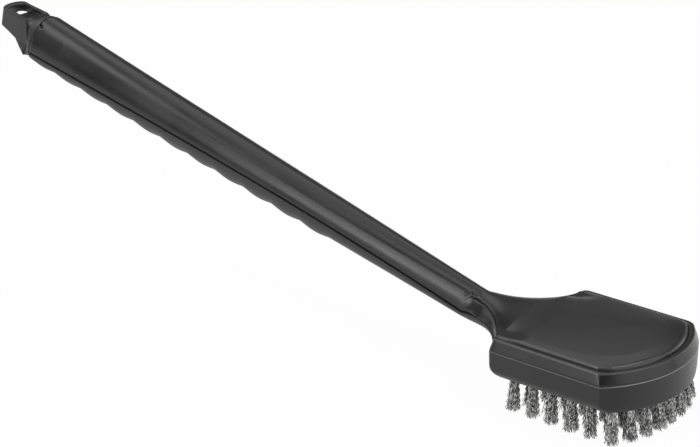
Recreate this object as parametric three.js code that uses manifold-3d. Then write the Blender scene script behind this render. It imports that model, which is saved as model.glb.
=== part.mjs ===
// A long-handled wire brush: a hollow two-shell handle that widens into a domed head cover,
// a drilled brush block under the cover, staple-set wire tufts, and a plug with a hang loop.
// Millimetres, +Z up. The bristle tips stand on z = 0, the handle rises towards -X.
import * as THREE from "three";
import { mergeVertices } from "three/addons/utils/BufferGeometryUtils.js";
import Module from "manifold-3d";

const wasm = await Module();
wasm.setup();

// ---- Driving dimensions -------------------------------------------------------------------

// Head, seen from above: straight sides, a bowed front, x = 0 at its rear edge.
const headWidth = 88.5;
const headSideLength = 71.2;
const frontBow = 18;
const rearCornerRadius = 2.4;
const leastRadius = 1;
const frontCornerRadius = 6;

// Head, seen from the side: everything is measured from the seam between cover and block.
const rimHeight = 6.6;
const rimDraft = 2.4;
const rimRearDraft = 1.2;
const rimRearRadius = 3;
const ledgeWidth = 3.3;
const domeStep = 1.2;
const domeCornerRadius = 7;
const domeRearRadius = 4;
const domeFlatness = 2.2;
const domeRearHeight = 9.3;
const domeCrownHeight = 11;
const domeCrownX = 52;
const coverWall = 2.8;
const blockDepth = 15.3;
const blockDraft = 0.4;
const blockSideRadius = 5.9;
const blockFrontRadius = 0.5;
const blockRearRadius = 7.6;
const blockRearCornerRadius = 3.2;

// Handle: a straight axis that leaves the head at a slope; widths and heights at three places.
const handleSlope = THREE.MathUtils.degToRad(14.27);
const axisDropAtHead = 10.45;
const handleEnd = 392;
const neckPlace = 46;
const sectionPlaces = [40, 215, 390];
const halfWidths = [9.7, 12.95, 15.5];
const heightsAboveAxis = [10.25, 12.6, 16.4];
const depthsBelowAxis = [8.1, 12.7, 12.1];
const seamPlaces = [40, 157, 273, 390];
const seamDrops = [3.2, 0, 1.4, 4.9];
const shellWall = 2.6;
const seamLedge = 0.45;

// Finger grip under the handle.
const fingerCount = 11;
const fingerPitch = 22.6;
const firstValley = 143.7;
const fingerBulge = 1.7;
const fingerRoundness = 1.2;

// Neck web between handle and head: seen from above, the crease and the seam flare outwards.
// Each crease point is its place, its distance from the middle and its height above the seam.
const creaseStart = new THREE.Vector3(-38, 6.5, 6.7);
const creasePull = new THREE.Vector3(-18.5, 6.4, 5.6);
const creaseEnd = new THREE.Vector3(0, 38, 1.6);
const seamFlarePull = new THREE.Vector3(-16, 12.5, 0);
const seamFlareInset = 3.6;
const neckTopPlaces = [0, 0.45, 1];
const neckTopHeights = [9.6, 8.5, 9.3];
const neckFullness = 2.8;
const neckDepth = 9.6;
const neckUnderPower = 1.33;
const neckUnderFade = 0.6;

// Plug with hang loop: its lengths along the axis are measured from the handle's end.
const spigotLength = 22;
const spigotLead = 0.9;
const plugDomeLength = 13;
const plugDomeFlat = 0.04;
const plugInset = 0.6;
const plugWall = 3;
const loopLength = 36;
const loopEndBow = 2.8;
const loopHalfWidth = 8.7;
const loopTopHeight = 10;
const loopTopRise = 1.1;
const loopNearDepth = 1.6;
const loopDepthGain = 3.6;
const loopMiddleRise = 6.2;
const loopFarRise = 8.8;
const loopFlare = 1.2;
const slotStart = 13.5;
const slotEnd = 31.6;
const slotHalfWidth = 6.8;
const slotThroughStart = 23;
const slotRampDrop = 5;
const keyWidth = 1.6;
const keyLength = 3.6;
const keyOffset = 8.8;
const keyStep = 1.4;
const loopEdge = 0.8;

// Tufts: columns across the head, and rows that repeat the bowed front row further back.
const tuftColumns = 8;
const tuftRowPitch = 12.1;
const tuftEdgeInset = 9.65;
const tuftFrontInset = 8.9;
const tuftFrontBow = 8.7;
const tuftLeastRearInset = 10.5;
const tuftHoleDiameter = 5.2;
const tuftHoleDepth = 6.6;
const bristleLength = 19.4;
const strandsPerRing = 7;
const strandRadius = 0.52;
const tuftRootRadius = 1.75;
const tuftTipRadius = 2.7;
const strandRoot = 1;
const sliceThickness = 3;
const pocketLip = 0.4;
const slices = 4;

// Anchor: the flat staple that holds each folded tuft at the bottom of its hole.
const anchorWidth = 4.4;
const anchorHeight = 2.2;
const anchorThickness = 0.5;
const anchorNose = 0.6;
const anchorHeadroom = 0.8;

// Locating pegs: cover to block, each between a row of tufts and the next, and lower shell to
// upper shell, at places along the handle.
const coverPegDiameter = 5;
const coverPegReach = 6;
const coverPegRows = [0, 3];
const gripPegDiameter = 4.6;
const gripBossDiameter = 9.4;
const gripPegReach = 5;
const gripPegPlaces = [95, 185, 275, 352];

// Clearance between pieces that touch, how far a cutter runs past a face, and how far one that
// goes right through the plug reaches from its axis.
const gap = 0.3;
const past = 2;
const cutterReach = 30;

// Fineness of curved faces.
const handleRows = 7;
const fingerRows = 4;
const shankRows = 3;
const neckRows = 6;
const wallSteps = 4;
const topSteps = 6;
const underSteps = 12;
const cornerSteps = 3;
const frontSteps = 7;
const edgeSteps = 4;
const plugSides = 24;
const plugRows = 6;
const loopRows = 4;
const postSides = 12;
const holeSides = 8;

// ---- Derived places -----------------------------------------------------------------------

const seamZ = bristleLength + blockDepth;
const headHalf = headWidth / 2;
const frontRadius = (headHalf ** 2 + frontBow ** 2) / (2 * frontBow);
const frontCentreX = headSideLength + frontBow - frontRadius;
const holeRadius = tuftHoleDiameter / 2;
const loopEnd = handleEnd + loopLength;
const slotFront = handleEnd + slotStart;
const slotRear = handleEnd + slotEnd;
const slotThroughFront = handleEnd + slotThroughStart;
const soleZ = seamZ - blockDepth;
const sliceTopZ = soleZ + sliceThickness;

const axisDirection = new THREE.Vector3(-Math.cos(handleSlope), 0, Math.sin(handleSlope));
const axisNormal = new THREE.Vector3(Math.sin(handleSlope), 0, Math.cos(handleSlope));
const axisStart = new THREE.Vector3(0, 0, seamZ - axisDropAtHead);

// A point of the handle from its distance along the axis, its side and its height above the axis.
function handlePoint(u, y, n) {
  const point = axisStart.clone().addScaledVector(axisDirection, u);
  point.addScaledVector(axisNormal, n);
  point.y += y;
  return point;
}

// The smooth curve through given values at given places (Lagrange's formula).
function through(places, values, u) {
  let total = 0;
  for (const [i, place] of places.entries()) {
    let term = values[i];
    for (const [j, other] of places.entries()) {
      if (i !== j) term *= (u - other) / (place - other);
    }
    total += term;
  }
  return total;
}

const halfWidthAt = (u) => through(sectionPlaces, halfWidths, u);
const topAt = (u) => through(sectionPlaces, heightsAboveAxis, u);
const valleyAt = (u) => through(sectionPlaces, depthsBelowAxis, u);
const seamAt = (u) => -through(seamPlaces, seamDrops, u);

// How far the finger grip swells at a place: zero in each valley and outside the grip.
function fingerSwell(u) {
  const turns = (u - firstValley) / fingerPitch;
  if (turns < 0 || turns > fingerCount) return 0;
  return fingerBulge * Math.abs(Math.sin(Math.PI * turns)) ** fingerRoundness;
}

// The point at a share t of the way along the curve from a to c that is pulled towards b.
const bezier = (a, b, c, t) =>
  a.clone().multiplyScalar((1 - t) ** 2).addScaledVector(b, 2 * t * (1 - t)).addScaledVector(c, t ** 2);

// ---- Meshes and solids --------------------------------------------------------------------

// A closed solid from rows of points: each row is one closed section that turns clockwise when
// it is seen from the rows after it. Both ends are closed with a fan, unless the last row has
// closed by itself into a doubled line.
function loft(rows, closesItself = false) {
  const count = rows[0].length;
  const positions = rows.flat().flatMap((p) => [p.x, p.y, p.z]);
  const index = [];
  for (let i = 0; i + 1 < rows.length; i++) {
    for (let j = 0; j < count; j++) {
      const a = i * count + j;
      const b = i * count + ((j + 1) % count);
      index.push(a, b + count, b, a, a + count, b + count);
    }
  }
  const ends = closesItself ? [0] : [0, rows.length - 1];
  for (const row of ends) {
    const centre = new THREE.Vector3();
    for (const p of rows[row]) centre.addScaledVector(p, 1 / count);
    const middle = positions.length / 3;
    positions.push(centre.x, centre.y, centre.z);
    for (let j = 0; j < count; j++) {
      const a = row * count + j;
      const b = row * count + ((j + 1) % count);
      index.push(middle, ...(row === 0 ? [a, b] : [b, a]));
    }
  }
  const geometry = new THREE.BufferGeometry();
  geometry.setAttribute("position", new THREE.Float32BufferAttribute(positions, 3));
  geometry.setIndex(index);
  return solidOf(geometry);
}

// A closed geometry as a solid, with shared corners merged and flat triangles dropped.
function solidOf(geometry) {
  const bare = geometry.clone();
  bare.deleteAttribute("normal");
  bare.deleteAttribute("uv");
  const merged = mergeVertices(bare, 1e-4);
  const corners = merged.index.array;
  const triVerts = [];
  for (let i = 0; i < corners.length; i += 3) {
    const [a, b, c] = [corners[i], corners[i + 1], corners[i + 2]];
    if (a !== b && b !== c && c !== a) triVerts.push(a, b, c);
  }
  const mesh = new wasm.Mesh({
    numProp: 3,
    vertProperties: new Float32Array(merged.attributes.position.array),
    triVerts: new Uint32Array(triVerts),
  });
  return new wasm.Manifold(mesh);
}

const spread = (from, to, steps) =>
  Array.from({ length: steps + 1 }, (_, i) => from + ((to - from) * i) / steps);

const join = (solids) => solids.reduce((a, b) => a.add(b));
const cut = (solid, cutters) => cutters.reduce((a, b) => a.subtract(b), solid);

function meshOf(name, solid, material) {
  const made = solid.getMesh();
  const geometry = new THREE.BufferGeometry();
  const positions = new THREE.Float32BufferAttribute(made.vertProperties, 3);
  geometry.setAttribute("position", positions);
  geometry.setIndex(new THREE.BufferAttribute(made.triVerts, 1));
  geometry.computeVertexNormals();
  const mesh = new THREE.Mesh(geometry, material);
  mesh.name = name;
  return mesh;
}

// An upright cylinder between two heights.
function post(x, y, bottom, top, radius, sides = postSides) {
  const geometry = new THREE.CylinderGeometry(radius, radius, top - bottom, sides);
  geometry.rotateX(Math.PI / 2);
  geometry.translate(x, y, (bottom + top) / 2);
  return solidOf(geometry);
}

// A cylinder square to the handle's axis, between two heights above it.
function handlePost(u, bottom, top, radius) {
  const geometry = new THREE.CylinderGeometry(radius, radius, top - bottom, postSides);
  geometry.rotateX(Math.PI / 2);
  geometry.rotateY(handleSlope);
  const middle = handlePoint(u, 0, (bottom + top) / 2);
  geometry.translate(middle.x, middle.y, middle.z);
  return solidOf(geometry);
}

// ---- Outlines -----------------------------------------------------------------------------

const arcPoints = (cx, cy, radius, from, to, steps) =>
  Array.from({ length: steps + 1 }, (_, i) => {
    const angle = from + ((to - from) * i) / steps;
    return new THREE.Vector2(cx + radius * Math.cos(angle), cy + radius * Math.sin(angle));
  });

// Half of the head's outline on the near side, drawn in by an inset: from the rear edge round
// the rear corner, along the side, round the front corner to the middle of the bowed front. The
// front's own inset may differ from the side's.
function nearOutline(inset, rearX, rearRadius, cornerRadius, frontInset = inset) {
  const half = headHalf - inset;
  const bow = frontRadius - inset;
  const centreX = frontCentreX + inset - frontInset;
  const rear = Math.max(rearRadius - inset, leastRadius);
  const corner = Math.max(cornerRadius - inset, leastRadius);
  const cornerX = centreX + Math.sqrt((bow - corner) ** 2 - (half - corner) ** 2);
  const turn = Math.atan2(-(half - corner), cornerX - centreX);
  const sideX = rearX + rear;
  return [
    ...arcPoints(sideX, -(half - rear), rear, Math.PI, 1.5 * Math.PI, cornerSteps),
    ...spread(sideX, cornerX, wallSteps).slice(1, -1).map((x) => new THREE.Vector2(x, -half)),
    ...arcPoints(cornerX, -(half - corner), corner, -Math.PI / 2, turn, cornerSteps),
    ...arcPoints(centreX, 0, bow, turn, 0, frontSteps).slice(1),
  ];
}

// ---- Upper shell: handle top, neck web and domed head cover --------------------------------

const creaseAngle = Math.PI / 4;

// One section of the upper shell: the near profile from seam to ridge, and its mirror image.
// A hollow's section starts with a skirt that drops below the seam, a body's skirt has no height.
function section(near, drop) {
  const skirt = near[0].clone().setZ(near[0].z - drop);
  const half = [skirt, ...near];
  const far = half.slice(0, -1).reverse().map((p) => new THREE.Vector3(p.x, -p.y, p.z));
  return [...half, ...far];
}

// Upper handle sections are half ellipses that stand on the seam.
function upperHandleSection(u, inset, drop) {
  const base = seamAt(u) + gap / 2;
  const half = halfWidthAt(u) - inset;
  const rise = topAt(u) - inset - base;
  const angles = [
    ...spread(0, creaseAngle, wallSteps),
    ...spread(creaseAngle, Math.PI / 2, topSteps).slice(1),
  ];
  const near = angles.map((angle) =>
    handlePoint(u, -half * Math.cos(angle), base + rise * Math.sin(angle)),
  );
  return section(near, drop);
}

// The web's crease and seam, at a share t of the way from handle to head.
const seamStart = handlePoint(neckPlace, halfWidthAt(neckPlace), seamAt(neckPlace));
const seamEnd = new THREE.Vector3(0, headHalf - seamFlareInset, seamZ);
const webCrease = (t) => bezier(creaseStart, creasePull, creaseEnd, t);
const webSeam = (t) => bezier(seamStart, seamFlarePull.clone().setZ(seamZ), seamEnd, t);

// Neck sections: a side wall from the seam up to the crease, then a crowned top.
function upperNeckSection(t, inset, drop) {
  const seam = webSeam(t);
  const crease = webCrease(t);
  const creaseZ = seamZ + Math.max(crease.z - inset, gap);
  const ridgeZ = seamZ + through(neckTopPlaces, neckTopHeights, t) - inset;
  const near = spread(0, 1, wallSteps).slice(0, -1).map((q) => {
    const y = THREE.MathUtils.lerp(seam.y, crease.y, Math.sqrt(q)) - inset;
    const z = THREE.MathUtils.lerp(seam.z + gap / 2, creaseZ, q);
    return new THREE.Vector3(THREE.MathUtils.lerp(seam.x, crease.x, q), -y, z);
  });
  const fullness = THREE.MathUtils.lerp(2, neckFullness, t ** 2);
  const top = spread(0, 1, topSteps).map((q) => {
    const z = THREE.MathUtils.lerp(creaseZ, ridgeZ, 1 - (1 - q) ** fullness);
    return new THREE.Vector3(crease.x, -(crease.y - inset) * (1 - q), z);
  });
  return section([...near, ...top], drop);
}

// Head sections: drafted rim wall, ledge, step up to the dome, then the dome to its ridge.
function upperHeadSections(inset, drop) {
  const rimX = rimRearDraft + inset;
  const wall = nearOutline(inset, inset, rearCornerRadius, frontCornerRadius);
  const rim = nearOutline(rimDraft + inset, rimX, rimRearRadius + rimDraft + inset, frontCornerRadius);
  const ledgeInset = rimDraft + ledgeWidth + inset;
  const domeRear = domeRearRadius + ledgeInset;
  const dome = nearOutline(ledgeInset, rimX, domeRear, domeCornerRadius + ledgeInset);
  const rimZ = seamZ + rimHeight - inset;
  return wall.map((p, i) => headSection(p, rim[i], dome[i], rimZ, inset, drop));
}

function headSection(wall, rim, dome, rimZ, inset, drop) {
  const along = THREE.MathUtils.clamp(dome.x / headSideLength, 0, 1);
  const ridgeX = domeCrownX * along;
  const crownShare = 1 - (1 - along) ** 2;
  const ridgeZ = seamZ - inset + THREE.MathUtils.lerp(domeRearHeight, domeCrownHeight, crownShare);
  const near = [
    new THREE.Vector3(wall.x, wall.y, seamZ + gap / 2),
    new THREE.Vector3(rim.x, rim.y, rimZ),
    new THREE.Vector3((rim.x + dome.x) / 2, (rim.y + dome.y) / 2, rimZ),
    new THREE.Vector3(dome.x, dome.y, rimZ),
  ];
  const top = spread(0, 1, topSteps).map((q) => {
    const z = THREE.MathUtils.lerp(rimZ + domeStep, ridgeZ, 1 - (1 - q) ** domeFlatness);
    return new THREE.Vector3(THREE.MathUtils.lerp(dome.x, ridgeX, q), dome.y * (1 - q), z);
  });
  return section([...near, ...top], drop);
}

function upperBody(inset, drop, start) {
  return loft(
    [
      ...spread(start, neckPlace, handleRows).map((u) => upperHandleSection(u, inset, drop)),
      ...spread(0, 1, neckRows).map((t) => upperNeckSection(t, inset, drop)),
      ...upperHeadSections(inset, drop),
    ],
    true,
  );
}

function upperShell() {
  const body = upperBody(0, 0, handleEnd);
  const hollow = upperBody(coverWall, past, handleEnd + past);
  const pegTop = seamZ + rimHeight + domeStep - gap;
  const pegs = coverPegSpots().map(({ x, y }) =>
    post(x, y, seamZ - coverPegReach, pegTop, coverPegDiameter / 2),
  );
  const bosses = gripPegPlaces.map((u) =>
    handlePost(u, seamAt(u) + gap / 2, topAt(u) - coverWall / 2, gripBossDiameter / 2),
  );
  const bores = gripPegPlaces.map((u) =>
    handlePost(u, seamAt(u) - past, seamAt(u) + gripPegReach + gap, gripPegDiameter / 2 + gap),
  );
  return cut(join([body.subtract(hollow), ...pegs, ...bosses]), [...bores, keyway(gap)]);
}

// ---- Lower shell: handle underside with the finger grip, ending at the block's rear face ----

// An under section with a skirt that rises above the seam on both sides, as in `section`.
function underSection(points, lift) {
  const skirt = (point) => point.clone().setZ(point.z + lift);
  return [skirt(points[0]), ...points, skirt(points[points.length - 1])];
}

// Lower handle sections are half ellipses that hang from the seam, a ledge wider than the top.
function lowerHandleSection(u, inset, lift, swell) {
  const base = seamAt(u) - gap / 2;
  const depth = valleyAt(u) + swell(u) - inset + base;
  const half = halfWidthAt(u) + seamLedge - inset;
  const points = spread(0, Math.PI, underSteps).map((angle) =>
    handlePoint(u, half * Math.cos(angle), base - depth * Math.sin(angle)),
  );
  return underSection(points, lift);
}

// Under the neck the section goes over from half an ellipse to a curve that is fuller in the
// middle and thinner at its sides, and hangs between the same seam and depth.
function lowerNeckSection(t, inset, lift) {
  const fade = THREE.MathUtils.smoothstep(t, 0, neckUnderFade);
  const stretch = 2 / THREE.MathUtils.lerp(2, neckUnderPower, fade);
  const seam = webSeam(t);
  const start = handlePoint(neckPlace, 0, -valleyAt(neckPlace));
  const top = seam.z - gap / 2;
  const bottom = THREE.MathUtils.lerp(start.z, seamZ - neckDepth, Math.sin((Math.PI / 2) * t)) + inset;
  const half = seam.y + seamLedge * (1 - t) - inset;
  const points = spread(0, Math.PI, underSteps).map((angle) => {
    const across = Math.sign(Math.cos(angle)) * Math.abs(Math.cos(angle)) ** stretch;
    const under = Math.max(Math.sin(angle), 0) ** stretch;
    const x = THREE.MathUtils.lerp(seam.x, THREE.MathUtils.lerp(start.x, seam.x, t), under);
    return new THREE.Vector3(x, half * across, top - (top - bottom) * under);
  });
  return underSection(points, lift);
}

function lowerShell() {
  const grip = spread(handleEnd, firstValley, fingerCount * fingerRows);
  const plain = spread(firstValley, neckPlace, shankRows).slice(1);
  const body = loft([
    ...[...grip, ...plain].map((u) => lowerHandleSection(u, 0, 0, fingerSwell)),
    ...spread(0, 1, neckRows).map((t) => lowerNeckSection(t, 0, 0)),
  ]);
  const hollowEnd = 1 - shellWall / Math.abs(seamStart.x);
  const plainSection = (u) => lowerHandleSection(u, shellWall, past, () => 0);
  const hollow = loft([
    ...spread(handleEnd + past, neckPlace, handleRows).map(plainSection),
    ...spread(0, hollowEnd, neckRows).map((t) => lowerNeckSection(t, shellWall, past)),
  ]);
  const pegs = gripPegPlaces.map((u) =>
    handlePost(u, shellWall / 2 - valleyAt(u), seamAt(u) + gripPegReach, gripPegDiameter / 2),
  );
  return join([body.subtract(hollow), ...pegs]);
}

// ---- End plug: spigot in the handle's bore, domed collar, hang loop with its slot -----------

// The plug's own frame: x along the handle's axis, y to the near side, z away from the axis.
const plugFrame = new THREE.Matrix4().makeBasis(
  axisDirection,
  new THREE.Vector3(0, -1, 0),
  axisNormal,
);
plugFrame.setPosition(axisStart);

// A block in the plug's frame, from its lowest and highest corners.
function plugBlock(low, high) {
  const size = high.clone().sub(low);
  const geometry = new THREE.BoxGeometry(size.x, size.y, size.z);
  geometry.translate(low.x + size.x / 2, low.y + size.y / 2, low.z + size.z / 2);
  return solidOf(geometry.applyMatrix4(plugFrame));
}

// An outline seen along the loop's thickness, cut through everything.
function plugPrism(outline) {
  const geometry = new THREE.ExtrudeGeometry(new THREE.Shape(outline), {
    depth: 2 * cutterReach,
    bevelEnabled: false,
  });
  geometry.translate(0, 0, -cutterReach);
  return solidOf(geometry.applyMatrix4(plugFrame));
}

// A round section of the plug: the handle's own section at a place, drawn in and then shrunk.
function plugSection(u, place, inset, share) {
  const half = (halfWidthAt(place) - inset) * share;
  const top = (topAt(place) - inset - seamAt(place)) * share;
  const under = (valleyAt(place) - inset + seamAt(place)) * share;
  const middle = seamAt(place) * share;
  return spread(0, 2 * Math.PI, plugSides).slice(1).map((turn) => {
    const rise = Math.sin(turn);
    const n = middle + (rise > 0 ? top : under) * rise;
    return handlePoint(u, -half * Math.cos(turn), n);
  });
}

// The loop's section: a flat near face, a flat top, and an underside that rises to the far side.
function loopSection(u) {
  const back = (loopEnd - u) / (loopEnd - slotFront);
  const top = loopTopHeight + loopTopRise * back;
  const near = -loopNearDepth - loopDepthGain * back;
  const half = loopHalfWidth + loopFlare * (1 - ((u - handleEnd) / (loopEnd - handleEnd)) ** 2);
  const edge = half - loopEdge;
  return [
    handlePoint(u, -edge, near),
    handlePoint(u, -half, near + loopEdge),
    handlePoint(u, -half, top - loopEdge),
    handlePoint(u, -edge, top),
    handlePoint(u, edge, top),
    handlePoint(u, half, top - loopEdge),
    handlePoint(u, half, near + loopFarRise + loopEdge),
    handlePoint(u, edge, near + loopFarRise),
    handlePoint(u, 0, near + loopMiddleRise),
  ];
}

const keyHeight = topAt(handleEnd) * Math.sqrt(1 - (keyOffset / halfWidthAt(handleEnd)) ** 2);

// The keyway at the end of the upper shell, and with no clearance the key itself.
function keyway(clearance) {
  const half = keyWidth / 2 + clearance;
  const deep = keyHeight - shellWall - past;
  const low = new THREE.Vector3(handleEnd - keyLength - clearance, keyOffset - half, deep);
  const high = new THREE.Vector3(handleEnd + past, keyOffset + half, keyHeight + past);
  return plugBlock(low, high);
}

function endPlug() {
  const bore = coverWall + gap;
  const root = handleEnd + 2 * gap;
  const tip = handleEnd - spigotLength;
  const spigot = loft([
    plugSection(root, handleEnd, bore, 1),
    plugSection(tip + past, tip + past, bore, 1),
    plugSection(tip, tip, bore, spigotLead),
  ]);
  const core = loft([
    plugSection(handleEnd - past, handleEnd, bore + plugWall, 1),
    plugSection(tip - past, tip, bore + plugWall, 1),
  ]);
  const collarRoot = handleEnd + gap;
  const domeTurn = Math.acos(plugDomeFlat);
  const dome = loft(
    spread(domeTurn, 0, plugRows).map((turn) =>
      plugSection(collarRoot + plugDomeLength * Math.sin(turn), handleEnd, plugInset, Math.cos(turn)),
    ),
  );
  const bow = (loopHalfWidth ** 2 + loopEndBow ** 2) / (2 * loopEndBow);
  const bowTurn = Math.asin(loopHalfWidth / bow);
  const end = arcPoints(loopEnd - bow, 0, bow, -bowTurn, bowTurn, plugRows);
  const loopRoot = collarRoot + past;
  const plan = [new THREE.Vector2(loopRoot, headHalf), new THREE.Vector2(loopRoot, -headHalf)];
  const loop = loft(spread(loopEnd + past, collarRoot, loopRows).map(loopSection));
  const trimmed = loop.intersect(plugPrism([...plan, ...end]));
  const keyLow = new THREE.Vector3(handleEnd - keyLength, 0, 0);
  const keyHigh = new THREE.Vector3(root, headHalf, keyHeight - keyStep);
  const key = keyway(0).intersect(plugBlock(keyLow, keyHigh));
  const solid = join([spigot.subtract(core), dome, trimmed, key]);
  return cut(solid, [slotThrough(), slotRamp()]);
}

// The slot: straight through behind its front edge, with a round rear end.
function slotThrough() {
  const rear = arcPoints(slotRear - slotHalfWidth, 0, slotHalfWidth, -Math.PI / 2, Math.PI / 2, holeSides);
  const front = [
    new THREE.Vector2(slotThroughFront, slotHalfWidth),
    new THREE.Vector2(slotThroughFront, -slotHalfWidth),
  ];
  return plugPrism([...rear, ...front]);
}

// The ramp that leads into the slot from its front edge.
function slotRamp() {
  const lip = loopTopHeight + loopTopRise;
  const outline = [
    new THREE.Vector2(slotFront, cutterReach),
    new THREE.Vector2(slotFront, lip),
    new THREE.Vector2(slotThroughFront + gap, lip - slotRampDrop),
    new THREE.Vector2(slotThroughFront + gap, cutterReach),
  ];
  const geometry = new THREE.ExtrudeGeometry(new THREE.Shape(outline), {
    depth: 2 * slotHalfWidth,
    bevelEnabled: false,
  });
  geometry.translate(0, 0, -slotHalfWidth);
  geometry.rotateX(Math.PI / 2);
  return solidOf(geometry.applyMatrix4(plugFrame));
}

// ---- Brush block: body with a rounded sole edge, pocket, blind tuft holes, peg sockets --------

const columnPitch = (2 * (headHalf - tuftEdgeInset)) / (tuftColumns - 1);
const tuftFieldLength = headSideLength + frontBow - tuftFrontInset - tuftFrontBow - tuftLeastRearInset;
const tuftRows = 1 + Math.floor(tuftFieldLength / tuftRowPitch);

// How far a rounding of a radius draws a wall in at a height above the edge.
function edgeInset(height, radius) {
  const left = Math.max(radius - height, 0);
  return radius - Math.sqrt(radius ** 2 - left ** 2);
}

// The block's outline at a height above the sole: a drafted wall whose lower edge is rounded more
// at the rear and the sides than at the front. A margin draws it in further.
function blockRing(height, margin, z) {
  const draft = blockDraft * (1 - height / blockDepth) + margin;
  const side = draft + edgeInset(height, blockSideRadius);
  const front = draft + edgeInset(height, blockFrontRadius);
  const rear = margin + edgeInset(height, blockRearRadius);
  const share = edgeInset(height, blockRearRadius) / blockRearRadius;
  const rearRadius = THREE.MathUtils.lerp(rearCornerRadius, blockRearCornerRadius, share);
  const near = nearOutline(side, rear, rearRadius + side, frontCornerRadius + side, front);
  const far = near.slice(0, -1).reverse().map((p) => new THREE.Vector2(p.x, -p.y));
  return [...near, ...far].map((p) => new THREE.Vector3(p.x, p.y, z));
}

// Every tuft's place: a bowed front row, and the same row again at each pitch further back.
function tuftPlaces() {
  const half = headHalf - tuftEdgeInset;
  const bow = (half ** 2 + tuftFrontBow ** 2) / (2 * tuftFrontBow);
  const front = headSideLength + frontBow - tuftFrontInset;
  return Array.from({ length: tuftColumns * tuftRows }, (_, k) => {
    const column = Math.floor(k / tuftRows);
    const row = k % tuftRows;
    const y = column * columnPitch - half;
    const frontX = front - bow + Math.sqrt(bow ** 2 - y ** 2);
    return { column, row, x: frontX - tuftRowPitch * (tuftRows - 1 - row), y };
  });
}

// A cover peg stands in the middle of four tufts of the two outer columns on its side.
function coverPegSpots() {
  const outer = [0, tuftColumns - 2];
  return outer.flatMap((column) =>
    coverPegRows.map((row) => {
      const beside = (a, b) => a === b || a === b + 1;
      const around = tuftPlaces().filter((p) => beside(p.column, column) && beside(p.row, row));
      const middle = new THREE.Vector2();
      for (const { x, y } of around) middle.add(new THREE.Vector2(x, y).divideScalar(around.length));
      return middle;
    }),
  );
}

function brushBlock() {
  const rounding = spread(0, Math.PI / 2, edgeSteps).map((turn) => {
    const height = blockRearRadius * (1 - Math.sin(turn));
    return blockRing(height, 0, soleZ + height);
  });
  const body = loft([blockRing(blockDepth, 0, seamZ - gap / 2), ...rounding]);
  const pocket = loft([
    blockRing(0, pocketLip, sliceTopZ + gap),
    blockRing(0, pocketLip, soleZ - past),
  ]);
  const holes = tuftPlaces().map(({ x, y }) =>
    post(x, y, sliceTopZ, sliceTopZ + tuftHoleDepth, holeRadius, holeSides),
  );
  const sockets = coverPegSpots().map(({ x, y }) =>
    post(x, y, seamZ - coverPegReach - gap, seamZ + past, coverPegDiameter / 2 + gap),
  );
  return cut(body, [pocket, ...holes, ...sockets]);
}

// ---- Tufts: strands that spread from root to tip, on slices of the sole ---------------------

// One strand: a three-sided wire that leans outwards on its way from the sole to the tip.
function strand(x, y, angle, root, tip) {
  const ends = [
    [0, tip],
    [soleZ + strandRoot, root],
  ];
  return loft(
    ends.map(([z, radius]) =>
      [0, 1, 2].map((corner) => {
        const a = angle - (corner * 2 * Math.PI) / 3;
        const cx = x + radius * Math.cos(angle) + strandRadius * Math.cos(a);
        const cy = y + radius * Math.sin(angle) + strandRadius * Math.sin(a);
        return new THREE.Vector3(cx, cy, z);
      }),
    ),
  );
}

// One tuft: a strand in the middle and a ring of strands round it.
function tuftStrands({ x, y, column }) {
  const strands = [strand(x, y, column, 0, 0)];
  for (let k = 0; k < strandsPerRing; k++) {
    const angle = (k * 2 * Math.PI) / strandsPerRing + column + x / tuftHoleDiameter;
    strands.push(strand(x, y, angle, tuftRootRadius, tuftTipRadius));
  }
  return strands;
}

function bristleSlice(number) {
  const perSlice = tuftColumns / slices;
  const from = (number * perSlice - tuftColumns / 2) * columnPitch;
  const to = from + perSlice * columnPitch;
  const low = number === 0 ? -headHalf : from + gap / 2;
  const high = number === slices - 1 ? headHalf : to - gap / 2;
  const band = new THREE.BoxGeometry(2 * (headSideLength + frontBow), high - low, headHalf);
  band.translate(0, (low + high) / 2, soleZ);
  const sheet = loft([
    blockRing(0, pocketLip + gap, sliceTopZ),
    blockRing(0, pocketLip + gap, soleZ),
  ]);
  const tufts = tuftPlaces().filter(({ column }) => Math.floor(column / perSlice) === number);
  return join([sheet.intersect(solidOf(band)), ...tufts.flatMap(tuftStrands)]);
}

// The flat staple across the bottom of a tuft hole, narrower where it was driven in first.
function tuftAnchor({ x, y }) {
  const half = anchorWidth / 2;
  const outline = new THREE.Shape([
    new THREE.Vector2(-half, 0),
    new THREE.Vector2(half, 0),
    new THREE.Vector2(half - anchorNose, anchorHeight),
    new THREE.Vector2(anchorNose - half, anchorHeight),
  ]);
  const geometry = new THREE.ExtrudeGeometry(outline, { depth: anchorThickness, bevelEnabled: false });
  geometry.translate(0, 0, -anchorThickness / 2);
  geometry.rotateX(Math.PI / 2);
  geometry.translate(x, y, sliceTopZ + tuftHoleDepth - anchorHeadroom - anchorHeight);
  return solidOf(geometry);
}

// ---- Assembly -----------------------------------------------------------------------------

const plastic = new THREE.MeshStandardMaterial({ color: 0x1b1b1c, roughness: 0.42, metalness: 0 });
const steel = new THREE.MeshStandardMaterial({ color: 0x9a9a98, roughness: 0.35, metalness: 1 });

const brush = new THREE.Group();
brush.add(meshOf("upper_shell", upperShell(), plastic));
brush.add(meshOf("lower_grip_shell", lowerShell(), plastic));
brush.add(meshOf("hang_loop_end_plug", endPlug(), plastic));
brush.add(meshOf("brush_block", brushBlock(), plastic));
for (let number = 0; number < slices; number++) {
  brush.add(meshOf(`wire_bristles_${number + 1}`, bristleSlice(number), steel));
}
for (const [k, place] of tuftPlaces().entries()) {
  const name = `tuft_anchor_${String(k + 1).padStart(2, "0")}`;
  brush.add(meshOf(name, tuftAnchor(place), steel));
}

// The origin is under the middle of the brush's box, on the plane of the bristle tips.
const box = new THREE.Box3().setFromObject(brush);
brush.position.x = -(box.min.x + box.max.x) / 2;

export default brush;
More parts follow.
